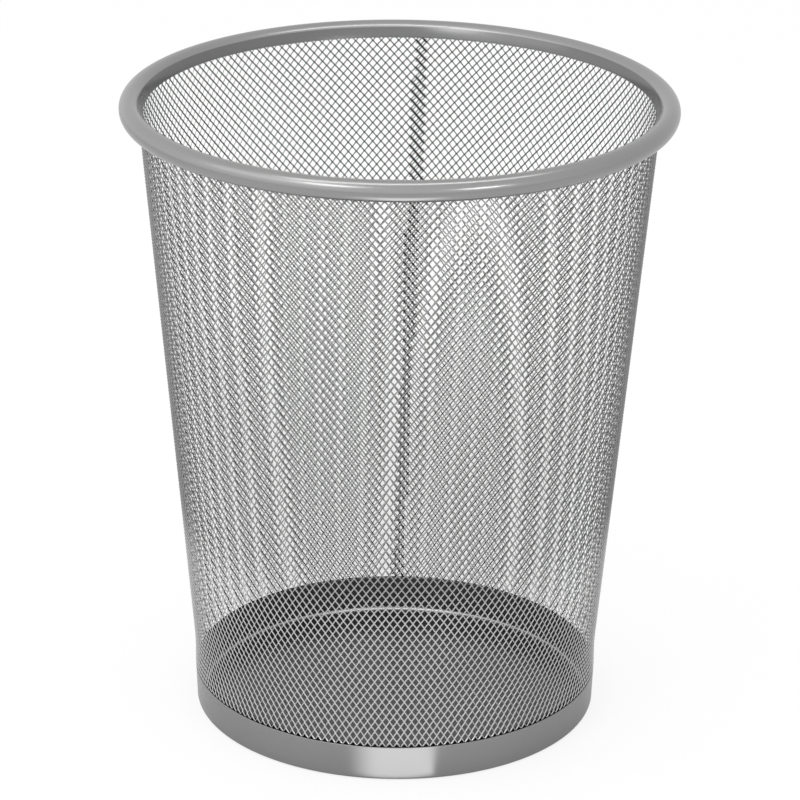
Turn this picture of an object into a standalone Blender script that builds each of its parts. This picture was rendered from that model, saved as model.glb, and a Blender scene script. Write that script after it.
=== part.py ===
"""Round wastebasket of expanded steel: a rolled rim, a lapped mesh cone, a foot band and a floor pan.

Metres, +Z up. The origin is on the axis, on the surface that the basket stands on.
The mesh sheet is made flat, cut from a grid of diamonds, and then rolled into a cone whose two ends
lap at the back. The rim, the band and the pan are sheet metal: open profiles, turned and thickened.
"""

import math

import bmesh
import bpy

MM = 0.001

# Overall sizes
HEIGHT = 346.8 * MM
RIM_DIAMETER = 295.0 * MM
BAND_TOP_DIAMETER = 221.0 * MM
BAND_FOOT_DIAMETER = 219.6 * MM
BAND_HEIGHT = 19.8 * MM

# Sheets and fits
SHEET = 0.6 * MM
MESH_SHEET = 0.6 * MM
CLEARANCE = 0.3 * MM

# Rolled rim: a bead outside the wall, a leg inside it and an underside that closes on it
BEAD_DIAMETER = 11.2 * MM
BEAD_OVERHANG = 9.8 * MM
LEG_DROP = 4.9 * MM
LEG_LEAN = 2.3 * MM
LEG_BEND_ANGLE = math.radians(150.0)
BEAD_END_ANGLE = math.radians(-60.0)
UNDERSIDE_ANGLE = math.radians(17.0)

# Mesh sheet
CELLS_AROUND = 30
CELLS_UP = 10
STRAND_WIDTH = 2.2 * MM
LAP_WIDTH = 8.0 * MM
MESH_TUCK = 1.3 * MM
SEAM_AZIMUTH_FOOT = math.radians(89.3)
SEAM_AZIMUTH_TOP = math.radians(85.0)

# Foot band and floor pan
BAND_CURL_RADIUS = 1.4 * MM
PAN_CORNER_RADIUS = 1.6 * MM
PAN_WALL_HEIGHT = 20.4 * MM

# Facets
TURN_STEPS = 52
BEAD_SEGMENTS = 7
CORNER_SEGMENTS = 3
MERGE_DISTANCE = 0.01 * MM

# Silver paint on steel: colour, roughness and metallic value of each piece
FINISHES = {
    "rim": ((0.40, 0.41, 0.41), 0.34, 0.75),
    "mesh_wall": ((0.34, 0.35, 0.35), 0.42, 0.70),
    "base_band": ((0.44, 0.45, 0.45), 0.36, 0.75),
    "floor_pan": ((0.30, 0.31, 0.31), 0.40, 0.70),
}

# The lap puts two layers of mesh side by side, a clearance apart.
LAP_STEP = MESH_SHEET + CLEARANCE

# Rim, at the middle of its sheet
BEAD_RADIUS = (BEAD_DIAMETER - SHEET) / 2
BEAD_CENTRE_RADIUS = (RIM_DIAMETER - BEAD_DIAMETER) / 2
BEAD_CENTRE_HEIGHT = HEIGHT - BEAD_DIAMETER / 2
BEAD_END_RADIUS = BEAD_CENTRE_RADIUS + BEAD_RADIUS * math.cos(BEAD_END_ANGLE)
BEAD_END_HEIGHT = BEAD_CENTRE_HEIGHT + BEAD_RADIUS * math.sin(BEAD_END_ANGLE)


def underside_height(radius):
    """Height of the rim's underside at a radius: from the end of the bead it climbs towards the mesh."""
    return BEAD_END_HEIGHT + (BEAD_END_RADIUS - radius) * math.tan(UNDERSIDE_ANGLE)


# Mesh: its outer face where the rim's underside meets it, and inside the band
MESH_TOP_RADIUS = RIM_DIAMETER / 2 - BEAD_OVERHANG
RIM_EDGE_HEIGHT = underside_height(MESH_TOP_RADIUS)
MESH_TOP_HEIGHT = RIM_EDGE_HEIGHT + MESH_TUCK - STRAND_WIDTH
BAND_TOP_RADIUS = BAND_TOP_DIAMETER / 2
BAND_FOOT_RADIUS = BAND_FOOT_DIAMETER / 2
MESH_FOOT_HEIGHT = 2 * CLEARANCE + SHEET + BAND_CURL_RADIUS + STRAND_WIDTH


def sagitta(radius, facets):
    """How far the middle of a flat facet lies inside the true circle."""
    return radius * (1 - math.cos(math.pi / facets))


def band_radius(height):
    """Outer radius of the foot band at a height."""
    return BAND_FOOT_RADIUS + (BAND_TOP_RADIUS - BAND_FOOT_RADIUS) * height / BAND_HEIGHT


def mesh_radius(height):
    """Outer radius of the mesh sheet: a straight cone that follows the band's inner face below its top."""
    band_fit = SHEET + CLEARANCE + sagitta(BAND_TOP_RADIUS, TURN_STEPS)
    if height <= BAND_HEIGHT:
        return band_radius(height) - band_fit
    band_edge = BAND_TOP_RADIUS - band_fit
    rise = (height - BAND_HEIGHT) / (RIM_EDGE_HEIGHT - BAND_HEIGHT)
    return band_edge + (MESH_TOP_RADIUS - band_edge) * rise


def seam_azimuth(height):
    """Angle of the lapped ends, which drift a little round the cone on the way up."""
    return SEAM_AZIMUTH_FOOT + (SEAM_AZIMUTH_TOP - SEAM_AZIMUTH_FOOT) * height / HEIGHT


def arc(centre_radius, centre_height, radius, start, end, segments):
    """Points of an arc in the profile plane, both ends included."""
    points = []
    for step in range(segments + 1):
        angle = start + (end - start) * step / segments
        points.append((centre_radius + radius * math.cos(angle), centre_height + radius * math.sin(angle)))
    return points


def rim_profile():
    """Middle line of the rim's strip: the leg's foot, over the bead, and in along the underside."""
    bead = arc(BEAD_CENTRE_RADIUS, BEAD_CENTRE_HEIGHT, BEAD_RADIUS,
               LEG_BEND_ANGLE, BEAD_END_ANGLE, BEAD_SEGMENTS)
    leg_radius, leg_height = bead[0]
    leg_foot = (leg_radius - LEG_LEAN, leg_height - LEG_DROP)
    edge_fit = CLEARANCE + SHEET / 2 * math.sin(UNDERSIDE_ANGLE) + sagitta(MESH_TOP_RADIUS, TURN_STEPS)
    edge_radius = MESH_TOP_RADIUS + edge_fit
    return [leg_foot] + bead + [(edge_radius, underside_height(edge_radius))]


def pan_wall_radius(height):
    """Middle radius of the pan's upstand at a height, inside both layers of the mesh's lap."""
    mesh_inside = mesh_radius(height) - MESH_SHEET - LAP_STEP
    return mesh_inside - sagitta(mesh_inside, 2 * CELLS_AROUND) - CLEARANCE - SHEET / 2


def band_profile():
    """Middle line of the foot band: down the wall, round the curl and in under the mesh to the pan."""
    curl_radius = BAND_CURL_RADIUS
    foot = CLEARANCE + SHEET / 2
    outer = band_radius(foot + curl_radius) - SHEET / 2
    curl = arc(outer - curl_radius, foot + curl_radius, curl_radius, 0.0, -math.pi / 2, CORNER_SEGMENTS)
    lip_fit = SHEET / 2 + CLEARANCE + sagitta(BAND_FOOT_RADIUS, TURN_STEPS)
    return [(BAND_TOP_RADIUS - SHEET / 2, BAND_HEIGHT)] + curl + [(pan_wall_radius(0.0) + lip_fit, foot)]


def pan_profile():
    """Middle line of the floor pan: out along the floor, round the corner and up the upstand."""
    floor = SHEET / 2
    bend_top = floor + PAN_CORNER_RADIUS
    corner = arc(pan_wall_radius(bend_top) - PAN_CORNER_RADIUS, bend_top, PAN_CORNER_RADIUS,
                 -math.pi / 2, 0.0, CORNER_SEGMENTS)
    return [(0.0, floor)] + corner + [(pan_wall_radius(PAN_WALL_HEIGHT), PAN_WALL_HEIGHT)]


def painted(name):
    """Silver paint for one piece."""
    colour, roughness, metallic = FINISHES[name]
    material = bpy.data.materials.new(name + "_paint")
    material.use_nodes = True
    shader = material.node_tree.nodes["Principled BSDF"]
    shader.inputs["Base Color"].default_value = (*colour, 1.0)
    shader.inputs["Roughness"].default_value = roughness
    shader.inputs["Metallic"].default_value = metallic
    return material


def add_piece(name, mesh, collection):
    """A named object with its own paint."""
    piece = bpy.data.objects.new(name, mesh)
    mesh.materials.append(painted(name))
    collection.objects.link(piece)
    return piece


def turned_sheet(name, profile, collection):
    """Sheet metal turned about the axis from an open profile, and thickened evenly on both faces."""
    mesh = bpy.data.meshes.new(name)
    points = [(radius, 0.0, height) for radius, height in profile]
    mesh.from_pydata(points, [(i, i + 1) for i in range(len(points) - 1)], [])
    piece = add_piece(name, mesh, collection)
    turn = piece.modifiers.new("Turn", "SCREW")
    turn.axis = "Z"
    turn.steps = TURN_STEPS
    turn.render_steps = TURN_STEPS
    turn.use_merge_vertices = True
    turn.merge_threshold = MERGE_DISTANCE
    turn.use_smooth_shade = True
    wall = piece.modifiers.new("Sheet", "SOLIDIFY")
    wall.thickness = SHEET
    wall.offset = 0.0
    wall.use_even_offset = True
    return piece


def flat_diamonds(bm):
    """Diamond cells in a flat sheet: a grid poked at its centres, with the grid's own lines taken out.

    A unit is half a cell. Columns run along X and rows along Y, from 0.
    """
    columns = CELLS_AROUND + 1
    bmesh.ops.create_grid(bm, x_segments=columns, y_segments=CELLS_UP, size=1.0)
    for vert in bm.verts:
        vert.co.x = (vert.co.x + 1.0) * columns
        vert.co.y = (vert.co.y + 1.0) * CELLS_UP
    grid_lines = [edge for edge in bm.edges if not edge.is_boundary]
    bmesh.ops.poke(bm, faces=bm.faces[:])
    bmesh.ops.dissolve_edges(bm, edges=grid_lines, use_verts=False)
    last_column = 2 * CELLS_AROUND + 0.5
    spare = [face for face in bm.faces if len(face.verts) == 3 or face.calc_center_bounds().x > last_column]
    bmesh.ops.delete(bm, geom=spare, context="FACES")


def lap_offset(column):
    """Share of the lap step at a column: the last two columns pass inside the first ones."""
    joggle_start = 2 * CELLS_AROUND - 2
    return min(max(column - joggle_start, 0.0), 1.0)


def mesh_sheet():
    """Expanded sheet: flat diamonds made into strands, then rolled into the lapped cone."""
    row_height = (MESH_TOP_HEIGHT - MESH_FOOT_HEIGHT) / (2 * CELLS_UP)
    middle_radius = (mesh_radius(MESH_FOOT_HEIGHT) + mesh_radius(MESH_TOP_HEIGHT)) / 2
    lap_angle = LAP_WIDTH / mesh_radius(MESH_TOP_HEIGHT)
    column_angle = (2 * math.pi + lap_angle) / (2 * CELLS_AROUND)
    column_width = column_angle * middle_radius
    bm = bmesh.new()
    flat_diamonds(bm)
    first_row = min(vert.co.y for vert in bm.verts)
    for vert in bm.verts:
        vert.co.x *= column_width
        vert.co.y = (vert.co.y - first_row) * row_height
    bmesh.ops.wireframe(bm, faces=bm.faces[:], thickness=STRAND_WIDTH, use_replace=True,
                        use_boundary=True, use_even_offset=True)
    for vert in bm.verts:
        column = vert.co.x / column_width
        height = MESH_FOOT_HEIGHT + vert.co.y
        layer = vert.co.z * MESH_SHEET / STRAND_WIDTH
        radius = mesh_radius(height) - MESH_SHEET / 2 - LAP_STEP * lap_offset(column) + layer
        azimuth = seam_azimuth(height) + column * column_angle
        vert.co = (radius * math.cos(azimuth), radius * math.sin(azimuth), height)
    mesh = bpy.data.meshes.new("mesh_wall")
    bm.to_mesh(mesh)
    bm.free()
    return mesh


def clear_scene():
    """Removes the objects of the open file."""
    for item in list(bpy.data.objects):
        bpy.data.objects.remove(item, do_unlink=True)


def main():
    clear_scene()
    basket = bpy.data.collections.new("wastebasket")
    bpy.context.scene.collection.children.link(basket)
    turned_sheet("rim", rim_profile(), basket)
    add_piece("mesh_wall", mesh_sheet(), basket)
    turned_sheet("base_band", band_profile(), basket)
    turned_sheet("floor_pan", pan_profile(), basket)


main()
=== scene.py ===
"""Looks of a round wastebasket of expanded steel mesh, painted silver.

Metres, +Z up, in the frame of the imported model. The rolled rim, the foot band and the floor dish are
turned sheet metal with rounded edges. The wall is the real fine mesh: a Geometry Nodes tree lays strand
crossings out in rows, welds them together and rolls the flat sheet into a cone with a lapped seam.
"""

import logging
import math
from dataclasses import dataclass, field
from enum import Enum
from functools import reduce
from typing import ClassVar, Iterable, Mapping, Optional, Sequence, Union

import bmesh
import bpy
import numpy as np
from mathutils import Matrix, Vector


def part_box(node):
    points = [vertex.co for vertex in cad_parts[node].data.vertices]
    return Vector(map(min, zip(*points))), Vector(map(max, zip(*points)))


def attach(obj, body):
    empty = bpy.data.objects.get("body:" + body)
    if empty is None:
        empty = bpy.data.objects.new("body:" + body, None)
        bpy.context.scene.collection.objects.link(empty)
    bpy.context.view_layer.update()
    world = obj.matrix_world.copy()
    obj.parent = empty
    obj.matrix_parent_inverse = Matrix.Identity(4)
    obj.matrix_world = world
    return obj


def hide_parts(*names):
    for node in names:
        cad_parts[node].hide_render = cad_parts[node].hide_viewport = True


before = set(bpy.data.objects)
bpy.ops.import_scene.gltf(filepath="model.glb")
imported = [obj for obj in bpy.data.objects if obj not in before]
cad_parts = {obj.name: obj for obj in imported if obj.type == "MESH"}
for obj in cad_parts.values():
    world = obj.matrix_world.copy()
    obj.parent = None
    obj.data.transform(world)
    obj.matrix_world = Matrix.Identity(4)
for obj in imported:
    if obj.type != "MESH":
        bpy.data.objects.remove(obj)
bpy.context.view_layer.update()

MM = 0.001
BODY = "root"

# Face mark of the basket's inside, whose faces are painted darker as shade
INSIDE_SHADE_MARK = "inside"
# Heights over which the mesh's tone rises towards the foot: painted light
FOOT_LIGHT_FADE = (90 * MM, 128 * MM)
CLOUD_SIZE = 45 * MM
FLAKE_SHARE = 0.6
ROUGHNESS_SWING = 0.12

MERGE_DISTANCE = 0.001 * MM
BEND_STEPS = 10
WHITE = (1.0, 1.0, 1.0, 1.0)

log = logging.getLogger("wastebasket")

ProfilePoint = tuple[float, float]
Term = Union[float, int, Sequence[float], bpy.types.ID, bpy.types.NodeSocket]


class SheetEnd(Enum):
    """How the edge of a turned sheet is finished."""

    ROUNDED = "rounded"
    ON_AXIS = "on_axis"


class LampRole(Enum):
    """What a lamp is for in the studio."""

    KEY = "key"
    FILL = "fill"
    STRIP = "strip"


class NodeWriter:
    """Adds nodes to a tree so that a formula reads as a row of calls."""

    def __init__(self, tree: bpy.types.NodeTree) -> None:
        """Keeps the shader or geometry node tree that the nodes go into."""
        self.tree = tree

    def node(self, kind: str, inputs: Optional[Mapping[str, Term]] = None,
             **settings: object) -> bpy.types.Node:
        """Adds a node, sets its properties and feeds its inputs.

        Args:
            kind: The node's type, such as ShaderNodeMath.
            inputs: Values or sockets for the node's inputs, by name.
            **settings: Properties of the node.

        Returns:
            The new node.
        """
        made = self.tree.nodes.new(kind)
        for key, value in settings.items():
            setattr(made, key, value)
        for name, value in (inputs or {}).items():
            self.feed(made.inputs[name], value)
        return made

    def feed(self, socket: bpy.types.NodeSocket, value: Term) -> None:
        """Links a socket into another, or writes a plain value on it.

        Args:
            socket: The input socket.
            value: A number, a vector, a datablock or an output socket.
        """
        if isinstance(value, bpy.types.NodeSocket):
            self.tree.links.new(value, socket)
        else:
            socket.default_value = value

    def step(self, kind: str, *terms: Term, **settings: object) -> bpy.types.NodeSocket:
        """One step of a formula: a node whose first inputs are fed in their order.

        Args:
            kind: The node's type.
            *terms: What goes into its inputs.
            **settings: Properties of the node.

        Returns:
            The node's first output.
        """
        made = self.node(kind, **settings)
        for socket, term in zip(made.inputs, terms):
            self.feed(socket, term)
        return made.outputs[0]

    def math(self, operation: str, *terms: Term) -> bpy.types.NodeSocket:
        """One step of arithmetic, such as ADD, with its operands in order."""
        return self.step("ShaderNodeMath", *terms, operation=operation)

    def product(self, *factors: Term) -> bpy.types.NodeSocket:
        """The product of two or more factors, multiplied in their order."""
        return reduce(lambda value, factor: self.math("MULTIPLY", value, factor), factors)

    def vector(self, x: Term, y: Term, z: Term) -> bpy.types.NodeSocket:
        """A vector from three numbers or sockets."""
        return self.step("ShaderNodeCombineXYZ", x, y, z)

    def parts(self, vector: bpy.types.NodeSocket) -> Sequence[bpy.types.NodeSocket]:
        """The X, Y and Z of a vector socket."""
        return self.node("ShaderNodeSeparateXYZ", {"Vector": vector}).outputs

    def scaled(self, vector: Term, factor: Term) -> bpy.types.NodeSocket:
        """A vector or a colour times a number."""
        inputs = {"Vector": vector, "Scale": factor}
        return self.node("ShaderNodeVectorMath", inputs, operation="SCALE").outputs[0]

    def smooth_step(self, value: Term, start: Term, end: Term,
                    low: Term = 0.0, high: Term = 1.0) -> bpy.types.NodeSocket:
        """A soft change from low to high while a value goes from start to end."""
        return self.step("ShaderNodeMapRange", value, start, end, low, high,
                         interpolation_type="SMOOTHSTEP")


def add_sockets(tree: bpy.types.NodeTree, side: str, kinds: Mapping[str, str]) -> None:
    """Gives a node group its INPUT or OUTPUT sockets, each a name with a type such as Float."""
    for name, kind in kinds.items():
        tree.interface.new_socket(name=name, in_out=side, socket_type="NodeSocket" + kind)


def new_object(name: str, data: bpy.types.ID) -> bpy.types.Object:
    """Adds an object to the scene.

    Args:
        name: The object's name.
        data: Its mesh, lamp or camera.

    Returns:
        The new object.
    """
    made = bpy.data.objects.new(name, data)
    bpy.context.scene.collection.objects.link(made)
    return made


# Paint


def powder_film_group() -> bpy.types.ShaderNodeTree:
    """Shader group of the silver powder coat: flake tone, gloss variation and orange peel.

    Faces marked as the basket's inside get a darker tone of their own, which is painted shade. Below
    the fade near the foot the tone of the others is raised by the foot gain, which is painted light.

    Returns:
        The node group. Its outputs feed Base Color, Roughness and the Height of a Bump node.
    """
    tree = bpy.data.node_groups.new("silver_powder_film", "ShaderNodeTree")
    add_sockets(tree, "INPUT", {
        "Tone": "Color",
        "Inside Shade Tone": "Color",
        "Foot Light Gain": "Float",
        "Gloss Roughness": "Float",
        "Tone Spread": "Float",
        "Flake Size": "Float",
        "Peel Size": "Float",
    })
    add_sockets(tree, "OUTPUT", {"Colour": "Color", "Roughness": "Float", "Height": "Float"})
    write = NodeWriter(tree)
    given = write.node("NodeGroupInput").outputs
    place = write.node("ShaderNodeTexCoord").outputs["Object"]

    def noise(size: Term, detail: float) -> bpy.types.NodeSocket:
        """Noise whose bumps have a given size in metres."""
        inputs = {"Vector": place, "Scale": write.math("DIVIDE", 1.0, size), "Detail": detail}
        return write.node("ShaderNodeTexNoise", inputs).outputs["Fac"]

    flake = noise(given["Flake Size"], detail=2.0)
    peel = noise(given["Peel Size"], detail=1.0)
    cloud = noise(CLOUD_SIZE, detail=2.0)
    mottle = write.math("ADD", write.product(flake, FLAKE_SHARE),
                        write.product(cloud, 1.0 - FLAKE_SHARE))
    swing = write.product(write.math("SUBTRACT", mottle, 0.5), given["Tone Spread"], 2.0)
    swing = write.math("ADD", 1.0, swing)
    # Painted light: below the fade the tone is raised towards the foot
    foot = write.smooth_step(write.parts(place)[2], *FOOT_LIGHT_FADE, given["Foot Light Gain"], 1.0)
    # Painted shade: faces marked as the inside take the darker inside tone
    shade_mark = write.node("ShaderNodeAttribute", attribute_name=INSIDE_SHADE_MARK).outputs["Fac"]
    coat = write.node("ShaderNodeMix", {
        "Factor": shade_mark,
        "A": write.scaled(given["Tone"], foot),
        "B": given["Inside Shade Tone"],
    }, data_type="RGBA").outputs["Result"]
    rough = write.math("MULTIPLY_ADD", write.math("SUBTRACT", cloud, 0.5), ROUGHNESS_SWING,
                       given["Gloss Roughness"])
    write.node("NodeGroupOutput", {
        "Colour": write.scaled(coat, swing),
        "Roughness": rough,
        "Height": peel,
    })
    return tree


@dataclass(frozen=True)
class SilverPaint:
    """Silver powder coat on one kind of piece.

    Attributes:
        name: The material's name.
        tone: Linear colour of the metallic film.
        roughness: Roughness of the film's gloss.
        inside_shade_tone: The darker colour on faces marked as the basket's inside, where it is another:
            painted shade.
        metallic: How much of the film answers as metal.
        tone_spread: How far the tone swings over the surface.
        peel_depth: Depth of the orange peel, in metres.
        flake_size: Size of the flake mottle, in metres.
        peel_size: Width of an orange peel bump, in metres.
        foot_light_gain: How many times lighter the tone is near the foot: painted light.
    """

    name: str
    tone: tuple[float, float, float]
    roughness: float
    inside_shade_tone: Optional[tuple[float, float, float]] = None
    metallic: float = 0.9
    tone_spread: float = 0.06
    peel_depth: float = 0.012 * MM
    flake_size: float = 0.6 * MM
    peel_size: float = 1.6 * MM
    foot_light_gain: float = 1.0

    def material(self, film: bpy.types.ShaderNodeTree) -> bpy.types.Material:
        """The finished material.

        Args:
            film: The shared group of the powder coat.

        Returns:
            A new material with the film's colour, roughness and peel on a Principled BSDF.
        """
        made = bpy.data.materials.new(self.name)
        made.use_nodes = True
        tree = made.node_tree
        write = NodeWriter(tree)
        coat = write.node("ShaderNodeGroup", {
            "Tone": (*self.tone, 1.0),
            "Inside Shade Tone": (*(self.inside_shade_tone or self.tone), 1.0),
            "Foot Light Gain": self.foot_light_gain,
            "Gloss Roughness": self.roughness,
            "Tone Spread": self.tone_spread,
            "Flake Size": self.flake_size,
            "Peel Size": self.peel_size,
        }, node_tree=film).outputs
        bump = write.node("ShaderNodeBump", {
            "Strength": 1.0,
            "Distance": self.peel_depth,
            "Height": coat["Height"],
        })
        shader = tree.nodes["Principled BSDF"].inputs
        write.feed(shader["Metallic"], self.metallic)
        write.feed(shader["Base Color"], coat["Colour"])
        write.feed(shader["Roughness"], coat["Roughness"])
        write.feed(shader["Normal"], bump.outputs["Normal"])
        return made


# The rim's inside tone is painted shade on the leg, which faces the axis
RIM_PAINT = SilverPaint("rim_silver", tone=(0.33, 0.333, 0.33), roughness=0.24,
                        inside_shade_tone=(0.19, 0.192, 0.19))
BAND_PAINT = SilverPaint("band_silver", tone=(0.30, 0.303, 0.30), roughness=0.20)
# The floor dish's dark tone is painted shade: the same silver, darkened as shade inside the basket
FLOOR_SHADE_PAINT = SilverPaint("floor_silver_shaded", tone=(0.12, 0.122, 0.12), roughness=0.28)
# Lighter paint on the bend at the foot of the upstand: a painted highlight
CORNER_HIGHLIGHT_PAINT = SilverPaint("floor_corner_highlight", tone=(0.55, 0.555, 0.55), roughness=0.18)
# The mesh's inside tone is painted shade on the strands' inner faces
MESH_PAINT = SilverPaint("mesh_silver", tone=(0.31, 0.312, 0.31), roughness=0.24,
                         inside_shade_tone=(0.03, 0.0305, 0.03), peel_depth=0.006 * MM, foot_light_gain=1.75)


# Turned sheet metal


def arc(centre: ProfilePoint, radius: float, start: float, end: float, steps: int) -> list[ProfilePoint]:
    """Points of an arc in the plane of a profile, both ends included.

    Args:
        centre: Distance from the axis and height of the arc's centre.
        radius: The arc's radius.
        start: First angle in degrees, 0 pointing away from the axis.
        end: Last angle in degrees.
        steps: Number of segments.

    Returns:
        The points in order.
    """
    angles = [math.radians(start + (end - start) * i / steps) for i in range(steps + 1)]
    return [(centre[0] + radius * math.cos(a), centre[1] + radius * math.sin(a)) for a in angles]


def sheet_outline(middle: Sequence[ProfilePoint], thickness: float, first: SheetEnd,
                  end_steps: int = 6) -> list[ProfilePoint]:
    """Outline of a sheet around its middle line, with its free ends rounded.

    Args:
        middle: The middle line of the sheet's section.
        thickness: The sheet's thickness.
        first: Finish of the end where the middle line starts. The other end is rounded.
        end_steps: Segments round a rounded end.

    Returns:
        The outline's points, in order round the section.
    """
    points = [Vector(p) for p in middle]
    final = len(points) - 1
    half = thickness / 2
    sharpest_bend = 0.5

    def normal(i: int) -> Vector:
        """Normal of the middle line at a point, longer at a bend so that the sheet keeps its thickness.

        Args:
            i: The point's place in the line.

        Returns:
            The normal, to the left of the line.
        """
        segment = min(i, final - 1)
        ahead = points[segment + 1] - points[segment]
        behind = points[i] - points[i - 1] if i > 0 else ahead
        n_ahead = Vector((-ahead.y, ahead.x)).normalized()
        n_behind = Vector((-behind.y, behind.x)).normalized()
        mean = (n_ahead + n_behind).normalized()
        return mean / max(mean.dot(n_ahead), sharpest_bend)

    def cap(i: int, neighbour: int) -> list[ProfilePoint]:
        """A half circle round an end, from the left side of the middle line to its right side.

        Args:
            i: The end point's place in the line.
            neighbour: The place of the point next to it.

        Returns:
            The points between the two sides.
        """
        side = normal(i).normalized()
        outwards = (points[i] - points[neighbour]).normalized()
        turn = [math.pi * k / end_steps for k in range(1, end_steps)]
        ring = [points[i] + half * (math.cos(a) * side + math.sin(a) * outwards) for a in turn]
        return [tuple(p) for p in ring]

    left = [tuple(points[i] + half * normal(i)) for i in range(len(points))]
    right = [tuple(points[i] - half * normal(i)) for i in range(len(points))]
    start = cap(0, 1)[::-1] if first is SheetEnd.ROUNDED else []
    return left + cap(final, final - 1) + right[::-1] + start


def turned(name: str, outline: Sequence[ProfilePoint], closed: bool, steps: int) -> bpy.types.Object:
    """A solid turned about the axis from a section outline.

    Args:
        name: The piece's name.
        outline: Distance from the axis and height of each point, in order.
        closed: True for a ring, False where both ends of the outline lie on the axis.
        steps: Facets round the axis.

    Returns:
        The piece as a plain mesh at the origin, its faces pointing outwards.
    """
    profile = bpy.data.meshes.new(name + "_profile")
    count = len(outline)
    edges = [(i, i + 1) for i in range(count - 1)] + ([(count - 1, 0)] if closed else [])
    profile.from_pydata([(r, 0.0, z) for r, z in outline], edges, [])
    piece = new_object(name, profile)
    screw = piece.modifiers.new("Turn", "SCREW")
    screw.axis = "Z"
    screw.steps = steps
    screw.render_steps = steps
    screw.use_merge_vertices = True
    screw.merge_threshold = MERGE_DISTANCE
    finished = plain_mesh(piece, name)
    bm = bmesh.new()
    bm.from_mesh(finished)
    bmesh.ops.remove_doubles(bm, verts=bm.verts[:], dist=MERGE_DISTANCE)
    bmesh.ops.recalc_face_normals(bm, faces=bm.faces[:])
    bm.to_mesh(finished)
    bm.free()
    shade(finished, sharp_from=50.0)
    return piece


def plain_mesh(piece: bpy.types.Object, name: str) -> bpy.types.Mesh:
    """Turns an object's evaluated shape into its own mesh and removes its modifiers.

    Args:
        piece: The object with live modifiers.
        name: Name of the new mesh.

    Returns:
        The mesh that the object now has.
    """
    graph = bpy.context.evaluated_depsgraph_get()
    made = bpy.data.meshes.new_from_object(piece.evaluated_get(graph))
    made.name = name
    piece.modifiers.clear()
    piece.data = made
    return made


def shade(mesh: bpy.types.Mesh, sharp_from: float) -> None:
    """Shades a mesh smooth, apart from edges that bend by more than an angle in degrees."""
    mesh.shade_smooth()
    mesh.set_sharp_from_angle(angle=math.radians(sharp_from))


def mark_shaded_inside(mesh: bpy.types.Mesh, reach: float) -> None:
    """Marks the faces that look at the basket's axis, which take the darker inside tone as painted shade.

    Args:
        mesh: A finished mesh round the axis.
        reach: Only faces nearer to the axis than this are marked.
    """
    count = len(mesh.polygons)
    facing, middle = np.empty(3 * count), np.empty(3 * count)
    mesh.polygons.foreach_get("normal", facing)
    mesh.polygons.foreach_get("center", middle)
    facing, middle = facing.reshape(count, 3), middle.reshape(count, 3)
    inwards = (facing[:, :2] * middle[:, :2]).sum(axis=1) < 0.0
    near = np.hypot(middle[:, 0], middle[:, 1]) < reach
    shade_mark = mesh.attributes.new(INSIDE_SHADE_MARK, "FLOAT", "FACE")
    shade_mark.data.foreach_set("value", (inwards & near).astype(np.float32))


def hand_over(piece: bpy.types.Object, stands_for: str) -> None:
    """Gives a finished piece its body and hides the CAD node that it stands for.

    Args:
        piece: The finished piece.
        stands_for: Name of the CAD node.
    """
    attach(piece, BODY)
    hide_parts(stands_for)
    triangles = sum(len(p.vertices) - 2 for p in piece.data.polygons)
    log.info("%s: %d triangles, stands for %s", piece.name, triangles, stands_for)


@dataclass
class TurnedSheet:
    """A piece of sheet steel turned about the axis.

    Attributes:
        name: The piece's name.
        stands_for: Name of its CAD node.
        first_end: Finish of the end where its middle line starts.
        sheet: Thickness of the sheet.
        steps: Facets round the axis.
    """

    name: ClassVar[str]
    stands_for: ClassVar[str]
    first_end: ClassVar[SheetEnd] = SheetEnd.ROUNDED

    sheet: float = 0.6 * MM
    steps: int = 288

    def middle_line(self) -> list[ProfilePoint]:
        """Middle of the sheet's section, drawn by each kind of piece."""
        raise NotImplementedError

    def finish(self, mesh: bpy.types.Mesh) -> None:
        """Marks or paints some faces of the turned mesh, in the kinds of piece that need it."""

    def build(self, *paints: bpy.types.Material) -> None:
        """Turns, paints and hands over the piece.

        Args:
            *paints: Its materials, the main one first.
        """
        outline = sheet_outline(self.middle_line(), self.sheet, self.first_end)
        piece = turned(self.name, outline, self.first_end is SheetEnd.ROUNDED, self.steps)
        for paint in paints:
            piece.data.materials.append(paint)
        self.finish(piece.data)
        hand_over(piece, self.stands_for)


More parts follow.
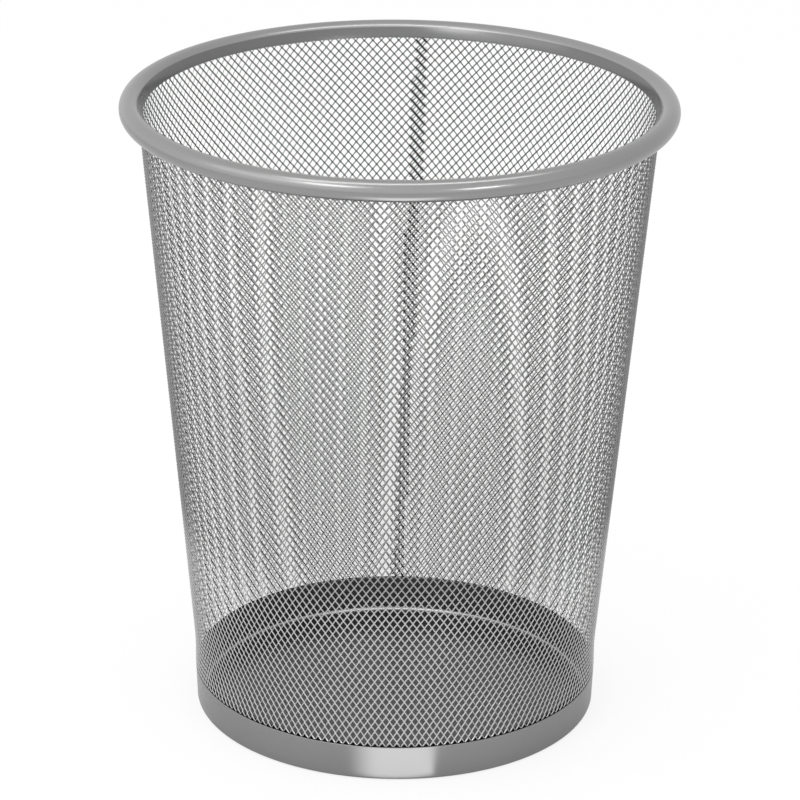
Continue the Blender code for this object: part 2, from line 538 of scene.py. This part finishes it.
@dataclass
class RolledRim(TurnedSheet):
    """The rim: a rolled bead outside the wall, a leg inside it and an underside that meets the mesh.

    Attributes:
        bead_diameter: Outer diameter of the rolled bead.
        leg_foot_radius: Distance of the leg's foot from the axis.
        leg_foot_height: Height of the leg's foot.
        crease: Angle in degrees where the bead turns into the leg.
        bead_end: Angle in degrees where the bead's curl turns back in towards the mesh.
        edge_radius: Distance of the strip's free edge from the axis, just outside the mesh.
        underside_rise: Slope in degrees of the underside, which climbs towards the mesh.
        bead_steps: Segments of the bead's section.
    """

    name: ClassVar[str] = "rolled_rim"
    stands_for: ClassVar[str] = "rim"

    bead_diameter: float = 11.18 * MM
    leg_foot_radius: float = 135.0 * MM
    leg_foot_height: float = 338.95 * MM
    crease: float = 154.0
    bead_end: float = -60.0
    edge_radius: float = 138.4 * MM
    underside_rise: float = 17.0
    bead_steps: int = 40

    def middle_line(self) -> list[ProfilePoint]:
        """Middle of the strip: the leg's foot, the crease, over the bead and in along the underside.

        Returns:
            The line's points.
        """
        _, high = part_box("rim")
        roll = (self.bead_diameter - self.sheet) / 2
        centre = (high.x - self.bead_diameter / 2, high.z - self.bead_diameter / 2)
        bead = arc(centre, roll, self.crease, self.bead_end, self.bead_steps)
        turn_radius, turn_height = bead[-1]
        rise = (turn_radius - self.edge_radius) * math.tan(math.radians(self.underside_rise))
        foot = (self.leg_foot_radius, self.leg_foot_height)
        return [foot] + bead + [(self.edge_radius, turn_height + rise)]

    def finish(self, mesh: bpy.types.Mesh) -> None:
        """Marks the leg, up to the crease, as the basket's inside, which is painted darker as shade."""
        leg_top_radius, _ = self.middle_line()[1]
        mark_shaded_inside(mesh, leg_top_radius)


@dataclass
class FootBand(TurnedSheet):
    """The plain band round the foot, curled in under the mesh.

    Attributes:
        top_radius: Outer radius at the top edge.
        foot_radius: Outer radius above the curl.
        curl_radius: Radius of the curl, at the middle of the sheet.
        inner_radius: Where the curled lip ends, under the mesh.
    """

    name: ClassVar[str] = "foot_band"
    stands_for: ClassVar[str] = "base_band"

    top_radius: float = 110.5 * MM
    foot_radius: float = 109.8 * MM
    curl_radius: float = 1.5 * MM
    inner_radius: float = 107.6 * MM

    def middle_line(self) -> list[ProfilePoint]:
        """Middle of the band: down the wall, round the curl and in under the mesh.

        Returns:
            The line's points.
        """
        low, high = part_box("base_band")
        foot = low.z + self.sheet / 2
        outer = self.foot_radius - self.sheet / 2
        centre = (outer - self.curl_radius, foot + self.curl_radius)
        curl = arc(centre, self.curl_radius, 0.0, -90.0, BEND_STEPS)
        top = (self.top_radius - self.sheet / 2, high.z - self.sheet / 2)
        return [top] + curl + [(self.inner_radius, foot)]


@dataclass
class FloorDish(TurnedSheet):
    """The pressed floor: a flat disc with an upstand inside the mesh.

    Attributes:
        wall_radius: Middle of the upstand's sheet from the axis, at its top.
        wall_lean: How much nearer to the axis the upstand is at its foot.
        corner_radius: Radius of the bend at the foot of the upstand.
    """

    name: ClassVar[str] = "floor_dish"
    stands_for: ClassVar[str] = "floor_pan"
    first_end: ClassVar[SheetEnd] = SheetEnd.ON_AXIS

    wall_radius: float = 107.2 * MM
    wall_lean: float = 0.5 * MM
    corner_radius: float = 1.7 * MM

    def corner_centre(self) -> ProfilePoint:
        """Centre of the bend between the floor and the upstand."""
        low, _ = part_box("floor_pan")
        return (self.wall_radius - self.wall_lean - self.corner_radius,
                low.z + self.sheet / 2 + self.corner_radius)

    def middle_line(self) -> list[ProfilePoint]:
        """Middle of the dish: out along the floor, round the corner and up the upstand.

        Returns:
            The line's points.
        """
        low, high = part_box("floor_pan")
        corner = arc(self.corner_centre(), self.corner_radius, -90.0, 0.0, BEND_STEPS)
        return [(0.0, low.z + self.sheet / 2)] + corner + [(self.wall_radius, high.z - self.sheet / 2)]

    def finish(self, mesh: bpy.types.Mesh) -> None:
        """Gives the bend at the foot of the upstand the second, lighter paint: a painted highlight along
        the bend.

        Args:
            mesh: The turned mesh.
        """
        bend_start, bend_top = self.corner_centre()
        for face in mesh.polygons:
            x, y, z = face.center
            if math.hypot(x, y) > bend_start and z < bend_top:
                face.material_index = 1


# Expanded mesh


@dataclass
class StrandCross:
    """One crossing of the expanded sheet with its four half strands.

    Stretching the slit sheet twists each strand about its own line, so that its upper edge lies
    nearer to the axis than its lower edge, and the crossings stand like small louvres.

    Attributes:
        cell_width: Width of the cell that the cross is drawn for.
        cell_height: Height of that cell.
        strand: Width of a strand across its flat face.
        thickness: Thickness of the sheet.
        twist: Twist of a strand out of the sheet, in degrees.
        face: Share of the strand's width that is flat.
        fillet: How far the rounded corner between two strands reaches along them.
    """

    cell_width: float = 4.40 * MM
    cell_height: float = 5.67 * MM
    strand: float = 0.73 * MM
    thickness: float = 0.20 * MM
    twist: float = 35.0
    face: float = 0.85
    fillet: float = 0.14 * MM

    @property
    def depth(self) -> float:
        """Distance between the outermost and the innermost point of the twisted sheet."""
        tilt = math.radians(self.twist)
        return 2 * self.strand * math.sin(tilt) + self.thickness * math.cos(tilt)

    def arm(self, right: bool, upper: bool) -> list[tuple[Vector, Vector, Vector]]:
        """Edge points of one half strand, with the directions of its section.

        Args:
            right: True for the strand that runs to the right.
            upper: True for the strand that runs upwards.

        Returns:
            Four edge points from the strand's lower edge at the crossing round its end to its upper
            edge at the crossing. Each comes with the vector to the flat face's border and the vector
            of half the sheet's thickness. X runs across, Y up and Z away from the axis.
        """
        tilt = math.radians(self.twist)
        run = Vector((self.cell_width if right else -self.cell_width,
                      self.cell_height if upper else -self.cell_height, 0.0)).normalized()
        across = Vector((-run.y, run.x, 0.0))
        if across.y < 0:
            across = -across
        out = Vector((0.0, 0.0, 1.0))
        edge = across * math.cos(tilt) - out * math.sin(tilt)
        normal = across * math.sin(tilt) + out * math.cos(tilt)
        length = math.hypot(self.cell_width, self.cell_height) / 4
        half = self.strand / 2
        slope = abs(run.x / run.y)
        points = []
        for side in (-1.0, 1.0):
            beside = (side > 0) != upper
            corner = half * math.cos(tilt) * (slope if beside else 1.0 / slope)
            for reach in (corner + self.fillet, length):
                shift = (1.0 - reach / length) * half * math.sin(tilt) * (-1.0 if upper else 1.0)
                place = run * reach + edge * half * side + out * shift
                border = edge * (-side * half * (1.0 - self.face))
                points.append((place, border, normal * self.thickness / 2))
        return [points[0], points[1], points[3], points[2]]

    def build(self) -> bpy.types.Object:
        """Makes the cross that the tree copies.

        Returns:
            A mesh object, measured in cells across and up. Its strand ends are open, to be welded
            to the next crossings.
        """
        arms = [self.arm(True, True), self.arm(False, True)[::-1],
                self.arm(False, False)[::-1], self.arm(True, False)]
        outline = [point for arm in arms for point in arm]
        in_arm = len(arms[0])
        bm = bmesh.new()
        rings = [[], [], []]
        for place, inset, lift in outline:
            for ring, offset in zip(rings, (inset + lift, Vector(), inset - lift)):
                at = place + offset
                ring.append(bm.verts.new((at.x / self.cell_width, at.y / self.cell_height, at.z)))
        count = len(outline)
        for upper, lower in zip(rings, rings[1:]):
            for i in range(count):
                # The strand's end lies between the second and the third point of its arm.
                if i % in_arm != 1:
                    j = (i + 1) % count
                    bm.faces.new((upper[i], lower[i], lower[j], upper[j]))
        for ring, flip in ((rings[0], False), (rings[2], True)):
            corners = [ring[i] for i in range(count) if i % in_arm in (0, in_arm - 1)]
            faces = [corners] + [ring[i:i + in_arm] for i in range(0, count, in_arm)]
            for face in faces:
                bm.faces.new(face[::-1] if flip else face)
        mesh = bpy.data.meshes.new("strand_cross")
        bm.to_mesh(mesh)
        bm.free()
        return bpy.data.objects.new("strand_cross", mesh)


@dataclass
class MeshWall:
    """The wall: a flat sheet of expanded steel, rolled into a cone and lapped at the back.

    Attributes:
        cells_around: Cells in one full turn.
        first_row_height: Height of the lowest row of crossings.
        foot_pitch: Height of a cell at the foot.
        pitch_change: Share by which that height changes from one cell to the next one up.
        rows: Rows of crossings, two for each cell.
        rows_in_ring: Rows in one piece, so that each piece stays light.
        cone_radius: Outer radius of the cone at the reference height.
        cone_height: The reference height.
        cone_slope: Gain in radius for each metre up.
        foot_radius: Outer radius of the wall where it bulges over the band.
        foot_blend: Width of the soft change from the bulge to the cone.
        tucked_radius: Outer radius inside the band.
        tuck_start: Height from which the wall draws in under the band's edge.
        tuck_end: Height below which it has its tucked radius.
        column_azimuth: Azimuth of the first column at the lowest row, in degrees.
        column_lean: Turn of a column for each metre up, in radians.
        seam_foot: Azimuth of the middle of the lap at the lowest row, in degrees.
        seam_drift: How far the cut ends cross the columns from foot to top, in cells.
        lap_cells: Width of the lap, in cells.
        lap_ease: How many cells the sheet takes to step in before the lap.
        lap_step: How far the inner layer of the lap lies inside the outer one.
        row_slip: How far the rows climb over one turn.
        wave_height: Size of the slow unevenness along the sheet.
        wave_push: Share of that size by which it pushes the sheet in and out.
        wave_length: Length of the slow unevenness.
        calm_height: Height above the lowest row where the unevenness is full.
        seed: Seed of the unevenness.
        weld: Distance over which strand ends join in the flat sheet.
    """

    cross: StrandCross = field(default_factory=StrandCross)
    cells_around: float = 178.28
    first_row_height: float = 8.0 * MM
    foot_pitch: float = 6.11 * MM
    pitch_change: float = -0.00293
    rows: int = 119
    rows_in_ring: int = 14
    cone_radius: float = 112.33 * MM
    cone_height: float = 53.4 * MM
    cone_slope: float = 0.0887
    foot_radius: float = 110.75 * MM
    foot_blend: float = 0.8 * MM
    tucked_radius: float = 109.55 * MM
    tuck_start: float = 20.5 * MM
    tuck_end: float = 19.2 * MM
    column_azimuth: float = 83.97
    column_lean: float = -0.030
    seam_foot: float = 89.2
    seam_drift: float = -1.81
    lap_cells: float = 1.55
    lap_ease: float = 1.2
    lap_step: float = 0.55 * MM
    row_slip: float = -0.4 * MM
    wave_height: float = 1.0 * MM
    wave_push: float = 0.25
    wave_length: float = 150.0 * MM
    calm_height: float = 30.0 * MM
    seed: float = 7.0
    weld: float = 0.04 * MM

    def inputs(self) -> dict[str, float]:
        """The named sizes of the tree.

        Returns:
            Each size by its input's name, in metres, radians and cells.
        """
        cell = 2 * math.pi / self.cells_around
        first_column = math.radians(self.column_azimuth)
        start = (math.radians(self.seam_foot) - first_column) / cell - self.lap_cells / 2
        as_they_are = (
            "column_lean", "foot_pitch", "pitch_change", "lap_ease", "lap_step", "cone_slope",
            "foot_radius", "foot_blend", "tucked_radius", "tuck_start", "tuck_end",
            "wave_height", "wave_push", "wave_length", "calm_height", "seed", "weld",
        )
        return {
            **{name.replace("_", " ").title(): getattr(self, name) for name in as_they_are},
            "Cell Angle": cell,
            "First Azimuth": first_column,
            "First Height": self.first_row_height,
            "Start Column": start,
            "Start Drift": self.seam_drift / (self.rows / 2),
            "Sheet Columns": self.cells_around + self.lap_cells,
            "Lap Columns": self.lap_cells,
            "Row Slip": self.row_slip / self.cells_around,
            "Cone Radius": self.cone_radius - self.cone_slope * self.cone_height,
            "Half Sheet": self.cross.depth / 2,
        }

    def lay_out(self, write: NodeWriter, given: bpy.types.bpy_prop_collection) -> bpy.types.NodeSocket:
        """Points of the flat lattice: one for each crossing between the two cut ends.

        Args:
            write: Writer of the tree.
            given: The tree's inputs.

        Returns:
            The points, X in columns and Y in cells up.
        """
        index = write.node("GeometryNodeInputIndex").outputs[0]
        columns = given["Columns"]
        local_row = write.math("FLOOR", write.math("DIVIDE", write.math("ADD", index, 0.5), columns))
        column = write.math("SUBTRACT", index, write.product(local_row, columns))
        row = write.math("ADD", local_row, given["First Row"])
        stagger = write.product(write.math("FLOORED_MODULO", row, 2.0), 0.5)
        across = write.math("ADD", column, stagger)
        up = write.product(row, 0.5)
        points = write.node("GeometryNodePoints", {
            "Count": write.product(columns, given["Rows"]),
            "Position": write.vector(across, up, 0.0),
        })
        cut = write.math("MULTIPLY_ADD", up, given["Start Drift"], given["Start Column"])
        before = write.math("LESS_THAN", across, cut)
        after = write.math("GREATER_THAN", across, write.math("ADD", cut, given["Sheet Columns"]))
        trimmed = write.node("GeometryNodeDeleteGeometry", {
            "Geometry": points.outputs[0],
            "Selection": write.math("ADD", before, after),
        }, domain="POINT")
        return trimmed.outputs[0]

    def roll_up(self, write: NodeWriter, given: bpy.types.bpy_prop_collection) -> bpy.types.NodeSocket:
        """Place on the cone of each point of the flat sheet.

        Args:
            write: Writer of the tree.
            given: The tree's inputs.

        Returns:
            The position, in metres.
        """
        across, up, layer = write.parts(write.node("GeometryNodeInputPosition").outputs[0])
        grown = write.math("EXPONENT", write.product(up, given["Pitch Change"]))
        rise = write.math("DIVIDE", given["Foot Pitch"], given["Pitch Change"])
        height = write.math("MULTIPLY_ADD", write.math("SUBTRACT", grown, 1.0), rise, given["First Height"])
        height = write.math("MULTIPLY_ADD", across, given["Row Slip"], height)
        climb = write.math("SUBTRACT", height, given["First Height"])
        azimuth = write.math("MULTIPLY_ADD", across, given["Cell Angle"], given["First Azimuth"])
        azimuth = write.math("MULTIPLY_ADD", climb, given["Column Lean"], azimuth)

        around = write.vector(write.math("COSINE", azimuth), write.math("SINE", azimuth), 0.0)
        lifted = write.step("ShaderNodeVectorMath", write.scaled(around, given["Cone Radius"]),
                            write.vector(0.0, 0.0, height), operation="ADD")
        wave = write.node("ShaderNodeTexNoise", noise_dimensions="4D", inputs={
            "Vector": lifted,
            "W": given["Seed"],
            "Scale": write.math("DIVIDE", 1.0, given["Wave Length"]),
            "Detail": 2.0,
            "Roughness": 0.35,
        })
        aside, raised, pushed = (
            write.product(write.math("SUBTRACT", shift, 0.5), given["Wave Height"])
            for shift in write.parts(wave.outputs["Color"])
        )
        azimuth = write.math("ADD", azimuth, write.math("DIVIDE", aside, given["Cone Radius"]))
        calm = write.smooth_step(climb, 0.0, given["Calm Height"])
        height = write.math("MULTIPLY_ADD", raised, calm, height)

        cone = write.math("MULTIPLY_ADD", height, given["Cone Slope"], given["Cone Radius"])
        outside = write.math("SMOOTH_MAX", cone, given["Foot Radius"], given["Foot Blend"])
        push = write.product(calm, given["Wave Push"])
        outside = write.math("MULTIPLY_ADD", pushed, push, outside)
        radius = write.smooth_step(height, given["Tuck End"], given["Tuck Start"],
                                   given["Tucked Radius"], outside)
        cut = write.math("MULTIPLY_ADD", up, given["Start Drift"], given["Start Column"])
        last = write.math("ADD", cut, given["Sheet Columns"])
        lap = write.math("SUBTRACT", last, given["Lap Columns"])
        inside = write.smooth_step(across, write.math("SUBTRACT", lap, given["Lap Ease"]), lap)
        radius = write.math("SUBTRACT", radius, write.product(inside, given["Lap Step"]))
        radius = write.math("SUBTRACT", radius, given["Half Sheet"])
        radius = write.math("ADD", radius, layer)
        x = write.product(radius, write.math("COSINE", azimuth))
        y = write.product(radius, write.math("SINE", azimuth))
        return write.vector(x, y, height)

    def tree(self, paint: bpy.types.Material) -> bpy.types.GeometryNodeTree:
        """The Geometry Nodes tree that makes one ring of the wall.

        Args:
            paint: The mesh's material.

        Returns:
            The tree, with a named input for each size.
        """
        tree = bpy.data.node_groups.new("expanded_mesh_ring", "GeometryNodeTree")
        add_sockets(tree, "OUTPUT", {"Geometry": "Geometry"})
        add_sockets(tree, "INPUT", {
            "Crossing": "Object",
            **dict.fromkeys(self.inputs(), "Float"),
            **dict.fromkeys(("Columns", "First Row", "Rows"), "Int"),
        })
        write = NodeWriter(tree)
        given = write.node("NodeGroupInput").outputs
        copied = write.node("GeometryNodeObjectInfo", {"Object": given["Crossing"]})
        placed = write.node("GeometryNodeInstanceOnPoints", {
            "Points": self.lay_out(write, given),
            "Instance": copied.outputs["Geometry"],
        })
        real = write.node("GeometryNodeRealizeInstances", {"Geometry": placed.outputs["Instances"]})
        welded = write.node("GeometryNodeMergeByDistance", {
            "Geometry": real.outputs["Geometry"],
            "Distance": given["Weld"],
        })
        rolled = write.node("GeometryNodeSetPosition", {
            "Geometry": welded.outputs["Geometry"],
            "Position": self.roll_up(write, given),
        })
        painted = write.node("GeometryNodeSetMaterial", {
            "Geometry": rolled.outputs["Geometry"],
            "Material": paint,
        })
        write.node("NodeGroupOutput", {"Geometry": painted.outputs["Geometry"]})
        return tree

    def ring(self, number: int, tree: bpy.types.GeometryNodeTree,
             cross: bpy.types.Object) -> bpy.types.Object:
        """One ring of the wall as a plain mesh.

        Args:
            number: The ring's place from the foot, from 0.
            tree: The tree that makes a ring.
            cross: The crossing to copy.

        Returns:
            The ring, its cut strand ends closed.
        """
        name = f"mesh_ring_{number + 1}"
        piece = new_object(name, bpy.data.meshes.new(name))
        maker = piece.modifiers.new("Expanded mesh", "NODES")
        maker.node_group = tree
        first_row = number * self.rows_in_ring
        widest = self.cells_around + self.lap_cells - self.seam_drift
        spare_columns = 2
        values = {
            **self.inputs(),
            "Crossing": cross,
            "Columns": math.ceil(widest) + spare_columns,
            "First Row": first_row,
            "Rows": min(self.rows_in_ring, self.rows - first_row),
        }
        for item in tree.interface.items_tree:
            if item.in_out == "INPUT":
                maker[item.identifier] = values[item.name]
        mesh = plain_mesh(piece, name)
        bm = bmesh.new()
        bm.from_mesh(mesh)
        open_edges = [edge for edge in bm.edges if edge.is_boundary]
        bmesh.ops.holes_fill(bm, edges=open_edges, sides=0)
        bm.to_mesh(mesh)
        bm.free()
        shade(mesh, sharp_from=30.0)
        # The strands' inner faces take the darker inside tone: painted shade
        mark_shaded_inside(mesh, math.inf)
        return piece

    def build(self, paint: bpy.types.Material) -> None:
        """Makes, paints and hands over every ring of the wall, from the foot up.

        Args:
            paint: The mesh's material.
        """
        cross = self.cross.build()
        tree = self.tree(paint)
        for number in range(math.ceil(self.rows / self.rows_in_ring)):
            hand_over(self.ring(number, tree, cross), "mesh_wall")
        bpy.data.objects.remove(cross)


# Studio


@dataclass(frozen=True)
class Softbox:
    """A rectangular lamp that faces the basket.

    Attributes:
        name: The lamp's name.
        role: What it is for.
        azimuth: Direction in degrees from the camera's side, positive to the right.
        elevation: Height above the horizon in degrees.
        distance: Distance from the target.
        width: Width of the lamp.
        height: Height of the lamp.
        power: Power in watts.
        turn: Turn about the direction to the target, in degrees.
        target: The point that it faces.
    """

    name: str
    role: LampRole
    azimuth: float
    elevation: float
    distance: float
    width: float
    height: float
    power: float
    turn: float = 0.0
    target: tuple[float, float, float] = (0.0, 0.0, 0.17)

    def build(self) -> None:
        """Places the lamp."""
        data = bpy.data.lights.new(self.name, "AREA")
        data.shape = "RECTANGLE"
        data.size = self.width
        data.size_y = self.height
        data.energy = self.power
        lamp = new_object(self.name, data)
        round_axis, rise = math.radians(self.azimuth), math.radians(self.elevation)
        level = math.cos(rise)
        aside = Vector((math.sin(round_axis) * level, -math.cos(round_axis) * level, math.sin(rise)))
        facing = (-aside).to_track_quat("-Z", "Y").to_matrix().to_4x4()
        facing.translation = Vector(self.target) + self.distance * aside
        lamp.matrix_world = facing @ Matrix.Rotation(math.radians(self.turn), 4, "Z")
        lamp.visible_camera = False
        log.info("lamp %s (%s)", self.name, self.role.value)


@dataclass
class Studio:
    """Pale floor, plain soft light and the camera of the photograph.

    Attributes:
        camera_place: Place of the camera.
        camera_target: The point on the axis that the camera faces.
        focal_pixels: Focal length for an image 800 pixels wide.
        target_pixel: Where the target shows in that image.
        roll: Turn of the camera about its own axis, in degrees.
        image_size: Width of that image in pixels.
        sensor: Width of the camera's sensor in millimetres.
        clip: Nearest and farthest distance that the camera shows.
        floor_width: Width of the square floor.
        lamps: The softboxes.
        room_light: Light of the room round the basket.
        room_fall: Change of that light towards the right and towards the back.
        floor_tone: Grey of the floor where it lights the basket.
        floor_answer: Share of the seen floor that takes the basket's shadow; the rest is white.
        lane_light: Extra light of the bright lane of floor before the basket, seen in gloss alone.
        lane_apex: Where the lane's two sides would meet, under the basket.
        lane_left: Slopes where the lane's soft left side starts and ends.
        lane_right: Slopes where its right side starts and ends.
        lane_start: Where the lane begins, close before the foot.
        lane_end: Where it has faded out and where it is still full, further out.
        shade_depth: How much darker the floor shows in the long soft shade behind the basket.
        shade_width: Distances from the middle where the shade has faded and where it is full.
        shade_spread: Gain of both distances for each metre further back.
        shade_start: Where the shade begins and where it is full, under the basket.
        shade_end: Where it starts to fade and where it ends.
    """

    camera_place: tuple[float, float, float] = (0.0, -1.9177, 0.93865)
    camera_target: tuple[float, float, float] = (0.0, 0.0, 0.175)
    focal_pixels: float = 3809.4
    target_pixel: tuple[float, float] = (397.17, 398.82)
    roll: float = 0.514
    image_size: float = 800.0
    sensor: float = 36.0
    clip: tuple[float, float] = (0.05, 50.0)
    floor_width: float = 8.0
    lamps: tuple[Softbox, ...] = (
        Softbox("top_strip", LampRole.STRIP, azimuth=0.0, elevation=83.0, distance=0.9,
                width=0.95, height=0.16, power=1.05, turn=20.0),
        Softbox("left_box", LampRole.KEY, azimuth=-31.0, elevation=47.0, distance=1.6,
                width=0.45, height=0.35, power=1.5),
        Softbox("left_fill", LampRole.FILL, azimuth=-56.0, elevation=42.0, distance=1.6,
                width=1.5, height=0.8, power=1.6),
        Softbox("right_spot", LampRole.FILL, azimuth=34.0, elevation=21.0, distance=0.45,
                width=0.14, height=0.07, power=0.16, target=(0.04, -0.135, 0.341)),
    )
    room_light: float = 0.95
    room_fall: tuple[float, float] = (-0.14, -0.12)
    floor_tone: float = 0.80
    floor_answer: float = 0.18
    lane_light: float = 1.4
    lane_apex: float = -56 * MM
    lane_left: tuple[float, float] = (-0.52, -0.14)
    lane_right: tuple[float, float] = (0.36, 0.46)
    lane_start: tuple[float, float] = (-116 * MM, -108 * MM)
    lane_end: tuple[float, float] = (-420 * MM, -300 * MM)
    shade_depth: float = 0.19
    shade_width: tuple[float, float] = (105 * MM, 65 * MM)
    shade_spread: float = 0.11
    shade_start: tuple[float, float] = (60 * MM, 110 * MM)
    shade_end: tuple[float, float] = (300 * MM, 750 * MM)

    def build_camera(self) -> None:
        """Adds the camera, placed and shifted as the photograph was framed."""
        data = bpy.data.cameras.new("camera")
        data.sensor_width = self.sensor
        data.lens = self.focal_pixels * self.sensor / self.image_size
        middle = self.image_size / 2
        data.shift_x = (middle - self.target_pixel[0]) / self.image_size
        data.shift_y = (self.target_pixel[1] - middle) / self.image_size
        data.clip_start, data.clip_end = self.clip
        camera = new_object("camera", data)
        place = Vector(self.camera_place)
        facing = (Vector(self.camera_target) - place).to_track_quat("-Z", "Y").to_matrix().to_4x4()
        facing.translation = place
        camera.matrix_world = facing @ Matrix.Rotation(math.radians(self.roll), 4, "Z")
        bpy.context.scene.camera = camera

    def build_floor(self) -> None:
        """Adds the floor: white to the camera but for the basket's shadow and the shade behind it."""
        mesh = bpy.data.meshes.new("studio_floor")
        bm = bmesh.new()
        bmesh.ops.create_grid(bm, x_segments=1, y_segments=1, size=self.floor_width / 2)
        bm.to_mesh(mesh)
        bm.free()
        floor = new_object("studio_floor", mesh)
        material = bpy.data.materials.new("studio_white")
        material.use_nodes = True
        tree = material.node_tree
        write = NodeWriter(tree)
        tree.nodes.clear()

        def paper(tone: float, light: bpy.types.NodeSocket) -> bpy.types.NodeSocket:
            """Matt paper of a grey tone that also gives off light."""
            matt = write.step("ShaderNodeBsdfDiffuse", (tone, tone, tone, 1.0))
            return write.step("ShaderNodeAddShader", matt, write.step("ShaderNodeEmission", WHITE, light))

        ray = write.node("ShaderNodeLightPath").outputs
        across, back, _ = write.parts(write.node("ShaderNodeTexCoord").outputs["Object"])
        slope = write.math("DIVIDE", across, write.math("SUBTRACT", self.lane_apex, back))
        lane = write.product(
            write.smooth_step(slope, *self.lane_left),
            write.smooth_step(slope, *self.lane_right, 1.0, 0.0),
            write.smooth_step(back, *self.lane_start, 1.0, 0.0),
            write.smooth_step(back, *self.lane_end),
            self.lane_light,
            ray["Is Glossy Ray"],
        )
        aside = write.math("SUBTRACT", write.math("ABSOLUTE", across),
                           write.product(back, self.shade_spread))
        dark = write.product(
            write.smooth_step(aside, *self.shade_width),
            write.smooth_step(back, *self.shade_start),
            write.smooth_step(back, *self.shade_end, self.shade_depth, 0.0),
        )
        ground = paper(self.floor_tone, lane)
        seen = paper(self.floor_answer, write.math("SUBTRACT", 1.0 - self.floor_answer, dark))
        pick = write.step("ShaderNodeMixShader", ray["Is Camera Ray"], ground, seen)
        write.node("ShaderNodeOutputMaterial", {"Surface": pick})
        mesh.materials.append(material)

    def build_world(self) -> None:
        """Adds the world: white to the camera, a soft room to everything else."""
        world = bpy.data.worlds.new("studio")
        bpy.context.scene.world = world
        world.use_nodes = True
        tree = world.node_tree
        tree.nodes.clear()
        write = NodeWriter(tree)
        right, back, _ = write.parts(write.node("ShaderNodeTexCoord").outputs["Generated"])
        light = write.math("MULTIPLY_ADD", right, self.room_fall[0], self.room_light)
        light = write.math("MULTIPLY_ADD", back, self.room_fall[1], light)
        seen = write.node("ShaderNodeLightPath").outputs["Is Camera Ray"]
        room = write.step("ShaderNodeBackground", WHITE, light)
        pick = write.step("ShaderNodeMixShader", seen, room, write.step("ShaderNodeBackground", WHITE))
        write.node("ShaderNodeOutputWorld", {"Surface": pick})

    def build(self) -> None:
        """Makes the whole studio."""
        self.build_camera()
        self.build_floor()
        self.build_world()
        for lamp in self.lamps:
            lamp.build()
        bpy.context.scene.view_settings.view_transform = "Standard"


def main() -> None:
    """Builds the studio and the basket's pieces in order."""
    logging.basicConfig(level=logging.INFO, format="%(name)s: %(message)s")
    Studio().build()
    film = powder_film_group()
    RolledRim().build(RIM_PAINT.material(film))
    FootBand().build(BAND_PAINT.material(film))
    FloorDish().build(FLOOR_SHADE_PAINT.material(film), CORNER_HIGHLIGHT_PAINT.material(film))
    MeshWall().build(MESH_PAINT.material(film))


if __name__ == "__main__":
    main()
